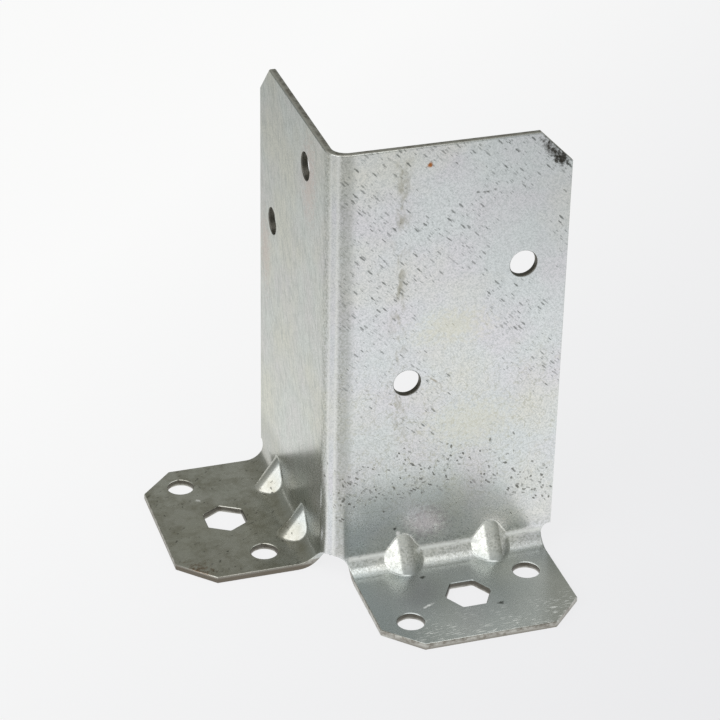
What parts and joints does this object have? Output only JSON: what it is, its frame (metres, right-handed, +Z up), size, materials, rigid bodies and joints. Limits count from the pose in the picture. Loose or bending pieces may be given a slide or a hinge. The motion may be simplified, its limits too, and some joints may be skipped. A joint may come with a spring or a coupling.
{
  "type": "timber post base",
  "caption": "Galvanised steel angle folded from one sheet to hold the corner of a timber post upright, with bored feet folded outwards and gussets pressed across their folds.",
  "frame": {"origin": "under the middle of the bounding box, on the plane of the feet's undersides", "axes": "+Z up along the flanges; the outside corner of the angle points to -X -Y, the post stands on the +X +Y side; one foot points to -Y and the other to -X"},
  "size_m": [0.154, 0.154, 0.19],
  "materials": {
    "galvanised_steel": "hot-dip zinc, dull silver grey, lightly stained"
  },
  "bodies": {
    "root": {"folded_bracket": "galvanised_steel"}
  },
  "joints": []
}
